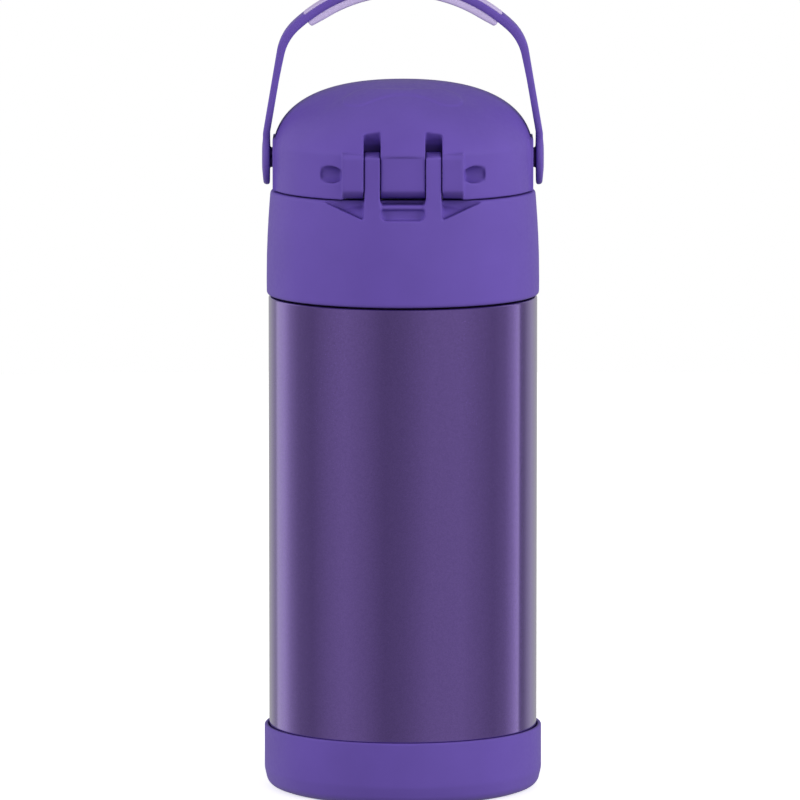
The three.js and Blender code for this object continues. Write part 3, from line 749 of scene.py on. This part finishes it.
def make_spout():
    """The drinking spout, made upright and then folded forwards under the lid."""
    length, bore = 23, 2.4
    outline = arc((0, 0), BALL_R, -62, 40, 16) + filleted([
        (4.3, 6.4, 2), (4.25, 14.5, 3), (5.1, 17.5, 2), (5.2, 19.5, 1.5), (4.4, length, 1.1),
        (bore, length, 0.8), (bore, -5),
    ], 6)
    mesh = lathe_mesh("spout", outline, 96)
    folded = Matrix.Rotation(math.radians(-60), 4, "X")
    mesh.transform(Matrix.Translation((0, 0, SPOUT_Z * MM)) @ folded)
    smooth(mesh)
    finish_piece(make_object("drinking_spout", mesh, SILICONE), "spout_body", "silicone", "spout")


def make_vent():
    low, high = box_mm("vent_valve")
    outline = filleted([
        (0, low[2]), (0.5, low[2]), (1.1, low[2] + 0.6, 0.3), (1.1, DECK_Z + 0.3), (2.8, DECK_Z + 0.3, 0.1),
        (2.6, DECK_Z + 0.9, 0.4), (0, high[2] + 0.05),
    ], 5)
    mesh = lathe_mesh("vent", outline, 48)
    mesh.transform(Matrix.Translation(((low[0] + high[0]) / 2 * MM, (low[1] + high[1]) / 2 * MM, 0)))
    smooth(mesh)
    finish_piece(make_object("vent_umbrella", mesh, SILICONE), "cap", "silicone", "vent_valve")


def make_pin():
    radius = (PIN_HIGH[2] - PIN_LOW[2]) / 2
    end = PIN_HIGH[0]
    outline = filleted([(0, -end), (radius, -end, 0.6), (radius, end, 0.6), (0, end)], 6)
    mesh = lathe_mesh("pin", outline, 48)
    turn = Matrix.Rotation(math.radians(90), 4, "Y")
    mesh.transform(Matrix.Translation((0, HINGE_Y * MM, HINGE_Z * MM)) @ turn)
    smooth(mesh)
    finish_piece(make_object("lid_pin", mesh, PIN_STEEL), "cap", "bare_steel", "hinge_pin")


def make_straw():
    low, high = STRAW_LOW[2], STRAW_HIGH[2]
    inner, outer = 2.75, 3.5
    outline = filleted([(inner, low, 0.2), (outer, low, 0.2), (outer, high, 0.2), (inner, high, 0.2)], 4)
    inlet = block_mesh((-5, -0.9, low - 1), (5, 0.9, low + 2.2))
    mesh = combine(lathe_mesh("straw", outline, 64), [inlet], "DIFFERENCE")
    smooth(mesh)
    finish_piece(make_object("drinking_straw", mesh, STRAW_PLASTIC), "straw_body", "straw_plastic", "straw")


# ---------------------------------------------------------------- button


def make_button():
    """A curved plate with a finger dish, and the latch hook that holds the lid's front edge."""
    low, high, half_x, hook_x = 141.5, 152, 9, 3.6
    face = filleted([(-half_x, low, 3), (half_x, low, 3), (half_x, high, 3), (-half_x, high, 3)], 8)
    ring = lathe_mesh("ring", [(34.1, low - 1), (35.5, low - 1), (35.5, high + 1), (34.1, high + 1)], 256)
    plate = combine(prism_mesh("plate", face, along_y, 30, 38), [ring], "INTERSECT")
    dish = lathe_mesh("dish", [(0, -1)] + arc((0, 20.9), 20.9, -90, -60, 12) + [(0, 10.5)], 64)
    outwards = Matrix.Rotation(math.radians(-90), 4, "X")
    dish.transform(Matrix.Translation((0, 35.05 * MM, (low + high) / 2 * MM)) @ outwards)
    nose = [(29.8, 157.9), (31.3, 157.9), (31.1, 158.5), (29.9, 159.2)]
    body = combine(plate, [
        block_mesh((-hook_x, 29.7, 151.3), (hook_x, 34.6, high)),
        block_mesh((-hook_x, 28.4, 151.3), (hook_x, 29.9, 159.2)),
        prism_mesh("nose", nose, along_x, -hook_x, hook_x),
    ], "UNION")
    body = combine(body, [dish], "DIFFERENCE")
    piece = make_object("push_button", moulded(body, 0.22, 4), CASE_PLASTIC)
    finish_piece(piece, "button_body", "purple_plastic", "button")


def coil_mesh(radius, wire, length, turns, place):
    """Round wire wound about Z, capped at both ends, then moved into place."""
    per_turn, sides = 40, 12
    steps = int(per_turn * turns)
    rings = []
    for i in range(steps + 1):
        angle = 2 * math.pi * i / per_turn
        out = Vector((math.cos(angle), math.sin(angle), 0))
        middle = out * radius + Vector((0, 0, length / steps * i))
        around = [2 * math.pi * k / sides for k in range(sides)]
        rings.append([middle + wire * (out * math.cos(a) + Vector((0, 0, math.sin(a)))) for a in around])
    mesh = swept_mesh("coil", rings)
    mesh.transform(place)
    smooth(mesh, 50)
    return mesh


def make_springs():
    forwards = Matrix.Rotation(math.radians(-90), 4, "X")
    button = Matrix.Translation((0, 26.1 * MM, 154.4 * MM)) @ forwards
    piece = make_object("button_coil", coil_mesh(1.2, 0.28, 2, 4, button), PIN_STEEL)
    finish_piece(piece, "button_body", "bare_steel", "button_spring")
    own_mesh(piece)
    sideways = Matrix.Rotation(math.radians(90), 4, "Y")
    lid = Matrix.Translation((-3.1 * MM, HINGE_Y * MM, HINGE_Z * MM)) @ sideways
    piece = make_object("lid_coil", coil_mesh(2.45, 0.42, 6.2, 6, lid), PIN_STEEL)
    finish_piece(piece, "lid", "bare_steel", "lid_spring")


# ---------------------------------------------------------------- flip lid


# The height where the dome leaves the wall, and its two exponents, at the sides and at the hinge.
SIDE_DOME = (162.6, 2.5, 2.5)
BACK_DOME = (166.2, 2.2, 1.45)


def dome_shape(around):
    """The dome's three numbers at an angle round the lid."""
    back = eased(-math.sin(around) / 0.6)
    return [side + (hinge - side) * back for side, hinge in zip(SIDE_DOME, BACK_DOME)]


def dome_height(x, y):
    """The height of the dome's outside over a point."""
    start, wide, tall = dome_shape(math.atan2(y, x))
    rise = 1 - min(1, math.hypot(x, y) / LID_R) ** wide
    return start + (LID_HIGH[2] - start) * rise ** (1 / tall)


def dome_mesh(radius, bottom, top, segments=ROUND, steps=44):
    """The lid's dome: full at the sides and front, and breaking from the wall into a slope at the hinge."""
    points, faces = [(0, 0, bottom)], []
    for i in range(steps + 1):
        angle = math.pi / 2 * max(0, i - 1) / steps
        for k in range(segments):
            around = 2 * math.pi * k / segments
            start, wide, tall = dome_shape(around)
            out = radius * math.cos(angle) ** (2 / wide)
            height = start + (top - start) * math.sin(angle) ** (2 / tall) if i else bottom
            points.append((out * math.cos(around), out * math.sin(around), height))
    points.append((0, 0, top))
    last = len(points) - 1
    for k in range(segments):
        after = (k + 1) % segments
        faces.append((0, 1 + after, 1 + k))
        for i in range(steps):
            a, b = 1 + i * segments, 1 + (i + 1) * segments
            faces.append((a + k, a + after, b + after, b + k))
        a = 1 + steps * segments
        faces.append((a + k, a + after, last))
    return mesh_from("dome", points, faces)


def badge_mesh():
    """A plain raised oblong on the dome, with nothing written on it."""
    middle, half_x, half_y = -14, 15, 5
    low, high = middle - half_y, middle + half_y
    outline = filleted([(-half_x, low, 5), (half_x, low, 5), (half_x, high, 5), (-half_x, high, 5)], 8)
    count, rings = len(outline), 6
    points, faces = [], []
    for lift in (0.3, -0.9):
        for ring in range(rings):
            share = 1 - ring / rings
            for x, y in outline:
                x, y = x * share, middle + (y - middle) * share
                points.append((x, y, dome_height(x, y) + lift))
        points.append((0, middle, dome_height(0, middle) + lift))
    lower = rings * count + 1
    for k in range(count):
        after = (k + 1) % count
        faces.append((k, after, lower + after, lower + k))
        for layer in (0, lower):
            for ring in range(rings - 1):
                a = layer + ring * count
                faces.append((a + k, a + after, a + count + after, a + count + k))
            a = layer + (rings - 1) * count
            faces.append((a + k, a + after, layer + rings * count))
    return mesh_from("badge", points, faces)


def lid_knuckles():
    """The thick bar that turns on the pin, round underneath and flat behind."""
    under = arc((HINGE_Y, HINGE_Z), KNUCKLE_R, -54, -141, 14)
    outline = filleted([
        *[(*point, 0) for point in under],
        (-33, 158.4, 1), (-33, 166.5, 1.3), (-24, 168), (-24, HINGE_Z - 4),
    ], 6)
    return prism_mesh("block", outline, along_x, -KNUCKLE_X, KNUCKLE_X)


def lid_slot(side):
    """Room for an ear of the collar: a trough round the hinge, closed at the back and the top."""
    reach, half_width, under = 7.1, 2.15, LID_LOW[2] - 2
    trough = [(reach, turn) for turn in range(0, 56, 11)] + [(7.8, 75), (9.2, 86), (10.8, 93), (14, 99)]
    outline = [(HINGE_Y + reach, under)]
    for out, turn in trough:
        angle = math.radians(turn)
        outline.append((HINGE_Y + out * math.cos(angle), HINGE_Z + out * math.sin(angle)))
    outline += [(-40, 175), (-40, under)]
    rounded = filleted([(*point, 0.8) for point in outline], 3)
    return prism_mesh("slot", rounded, along_x, *span(side, EAR_X - half_width, EAR_X + half_width))


def lid_cuts():
    """The slots, the flats and holes for the handle, the pin's hole and room for the spring."""
    wide, coil_r, coil_x = FLAT_HALF_WIDTH, 3.2, 3.9

    def flat(side):
        xs = span(side, FLAT_X, 36)
        return block_mesh((xs[0], -wide, 150), (xs[1], wide, 169))

    def pin_end(side):
        return rod_mesh(2.15, *span(side, KNUCKLE_X + 0.1, RECESS_X), HINGE_Y + 0.6, HINGE_Z)

    return [
        *both_sides(lid_slot),
        *both_sides(flat),
        *both_sides(lambda side: rod_mesh(2.9, *span(side, 31, 36), 0, PIVOT_Z)),
        *both_sides(pin_end),
        rod_mesh(BORE_R, -16, 16, HINGE_Y, HINGE_Z),
        rod_mesh(coil_r, -coil_x, coil_x, HINGE_Y, HINGE_Z),
        block_mesh((-coil_x, HINGE_Y, HINGE_Z - coil_r), (coil_x, -20, HINGE_Z + coil_r)),
    ]


def make_lid():
    low, top = LID_LOW[2], LID_HIGH[2]
    hollow = dome_mesh(LID_R - LID_WALL, low - 2, top - LID_WALL, 160)
    inside = dome_mesh(LID_R - 0.7, low, top - 0.7, 160)
    core = dome_mesh(LID_R - LID_WALL - 0.3, low - 2, top - LID_WALL - 0.3, 150)
    latch_bar = block_mesh((-4.2, 30.6, 155.9), (4.2, 32.4, 157.6))
    room_x = KNUCKLE_X - 0.25
    hinge_room = block_mesh((-room_x, -40, low - 1), (room_x, -24.3, 166.1))

    def backing(low_corner, high_corner):
        return combine(block_mesh(low_corner, high_corner), [inside.copy()], "INTERSECT")

    def handle_pad(side):
        xs, wide = span(side, 29.5, FLAT_X), FLAT_HALF_WIDTH
        thick = block_mesh((xs[0], -wide, low + 0.05), (xs[1], wide, 168.3))
        return combine(thick, [core.copy()], "DIFFERENCE")

    def recess_back(side):
        xs = span(side, 14.5, RECESS_X)
        return backing((xs[0], -31, 157.6), (xs[1], -24, 165))

    body = combine(dome_mesh(LID_R, low, top), [hollow, hinge_room], "DIFFERENCE")
    body = combine(body, [
        lid_knuckles(),
        badge_mesh(),
        backing((-11.8, -32, 157.4), (11.8, -20.4, 180)),
        latch_bar,
        *both_sides(handle_pad),
        *both_sides(recess_back),
    ], "UNION")
    body = combine(body, lid_cuts(), "DIFFERENCE")
    piece = make_object("dome_lid", moulded(body), CASE_PLASTIC)
    finish_piece(piece, "lid", "purple_plastic", "flip_lid")


# ---------------------------------------------------------------- carry handle


def handle_outside():
    """Half of the handle's outside: a leg that leans in, a rounded corner and the arch to its top."""
    lean = 9.7
    top_r, corner_r = 41.4, 13.7
    leg_x, leg_z = 35.85, 169.5
    top_z = HANDLE_TOP - top_r
    leg = Vector((leg_x, leg_z))
    up = Vector((-math.sin(math.radians(lean)), math.cos(math.radians(lean))))
    inward = Vector((-up.y, up.x))
    base = leg + inward * corner_r - Vector((0, top_z))
    half = base.dot(up)
    along = -half + math.sqrt(half ** 2 - base.length_squared + (top_r - corner_r) ** 2)
    corner = base + up * along + Vector((0, top_z))
    turn = math.degrees(math.atan2(corner.y - top_z, corner.x))
    leg_end = leg + up * along
    points = [(leg_x - 0.1, PIVOT_Z), (leg_x, 167), (leg_x, leg_z)]
    points += [tuple(leg.lerp(leg_end, i / 6)) for i in range(1, 6)]
    points += arc(corner, corner_r, lean, turn, 14)
    return points + arc((0, top_z), top_r, turn, 90, 26)[1:]


def handle_line(inset):
    """Half of the handle's outside, moved in by inset(z): points from the pivot to the top of the arch."""
    points = handle_outside()
    last = len(points) - 1
    moved = []
    for i, (x, z) in enumerate(points):
        before, after = points[max(i - 1, 0)], points[min(i + 1, last)]
        run = Vector((after[0] - before[0], after[1] - before[1])).normalized()
        if i == last:
            run = Vector((-1, 0))
        depth = inset(z)
        moved.append((x - run.y * depth, z + run.x * depth))
    return moved


def strap_mesh(name, outer_depth, inner_depth, width, half_x=99, edge=0.6):
    """A strap that follows the handle between two depths, with rounded edges across its width."""
    outer, inner = handle_line(outer_depth), handle_line(inner_depth)
    keep = [i for i, (x, z) in enumerate(outer) if x <= half_x]
    outer, inner = [outer[i] for i in keep], [inner[i] for i in keep]
    outer += [(-x, z) for x, z in reversed(outer[:-1])]
    inner += [(-x, z) for x, z in reversed(inner[:-1])]
    half = width / 2
    rings = []
    for (ox, oz), (ix, iz) in zip(outer, inner):
        thick = math.hypot(ox - ix, oz - iz)
        section = filleted([(half, 0, edge), (half, thick, edge), (-half, thick, edge), (-half, 0, edge)], 4)
        shares = [(across, deep / thick) for across, deep in section]
        rings.append([(ox + (ix - ox) * share, across, oz + (iz - oz) * share) for across, share in shares])
    return swept_mesh(name, rings)


def band_depth(z):
    """The band's thickness, which grows from the legs to the arch."""
    return 1.8 + 0.65 * eased((z - 181.5) / 19.4)


def pad_depth(z):
    """The depth of the grip's underside, which is thinner towards its ends."""
    return 3.6 + 0.7 * eased((z - 198) / 5)


def handle_disc(side):
    """The round end of a leg, over the pivot."""
    inner, outer = 34.1, 36.1
    outline = filleted([
        (0, inner), (HANDLE_END_R, inner, 0.5), (HANDLE_END_R, outer - 0.4, 0.8), (3, outer, 2), (0, outer),
    ], 5)
    mesh = lathe_mesh("disc", outline, 96)
    mesh.transform(Matrix.Rotation(math.radians(90 * side), 4, "Y"))
    mesh.transform(Matrix.Translation((0, 0, PIVOT_Z * MM)))
    return mesh


def make_band():
    band = strap_mesh("band", lambda z: 0, band_depth, HANDLE_WIDTH, edge=0.7)
    trunnions = both_sides(lambda side: rod_mesh(TRUNNION_R, *span(side, 31.5, 34.6), 0, PIVOT_Z))
    body = combine(band, [*both_sides(handle_disc), *trunnions], "UNION")
    inlay_room = strap_mesh("room", lambda z: -1, lambda z: 0.45, HANDLE_WIDTH + 2, 26.3, 0.2)
    body = combine(body, [inlay_room], "DIFFERENCE")
    piece = make_object("carry_band", moulded(body, 0.24, 5, 0.35), CASE_PLASTIC)
    finish_piece(piece, "handle", "purple_plastic", "handle_band")


def make_grip():
    """The soft pad under the arch and the inlay on top of it."""
    pad = strap_mesh("pad", lambda z: 2.2, pad_depth, HANDLE_WIDTH - 0.6, 26.5, 0.6)
    end = [(22.1, 196.9), (23.1, 197.0), (23.8, 197.35), (24.4, 198.2), (24.4, 210)]
    ends = [(-x, z) for x, z in reversed(end)] + end
    pad = combine(pad, [prism_mesh("ends", ends, along_y, -9, 9)], "INTERSECT")
    piece = make_object("grip_pad", moulded(pad, 0.22, 4, 0.35), GRIP_RUBBER)
    finish_piece(piece, "handle", "grip_rubber", "handle_grip")
    inlay = strap_mesh("inlay", lambda z: -0.05, lambda z: 0.6, HANDLE_WIDTH - 1, 25.6, 0.3)
    piece = make_object("grip_inlay", moulded(inlay, 0.2, 3, 0.35), GRIP_RUBBER)
    finish_piece(piece, "handle", "grip_rubber", "handle_inlay")


def dress_hidden_nodes():
    """The sealed pieces between the flask's walls keep their CAD shapes."""
    looks = {
        "outer_bottom": BARE_STEEL,
        "vacuum_seal_plug": PIN_STEEL,
        "getter": PIN_STEEL,
        "radiation_foil": COPPER_FOIL,
    }
    for name, material in looks.items():
        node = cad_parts[name]
        if not node.data.materials:
            node.data.materials.append(material)
        for slot in node.material_slots:
            slot.material = material


make_steel_body()
make_boot()
make_neck_thread()
make_liner()
make_collar()
make_insert()
make_seal()
make_mouthpiece()
make_spout()
make_vent()
make_pin()
make_straw()
make_button()
make_springs()
make_lid()
make_band()
make_grip()
dress_hidden_nodes()
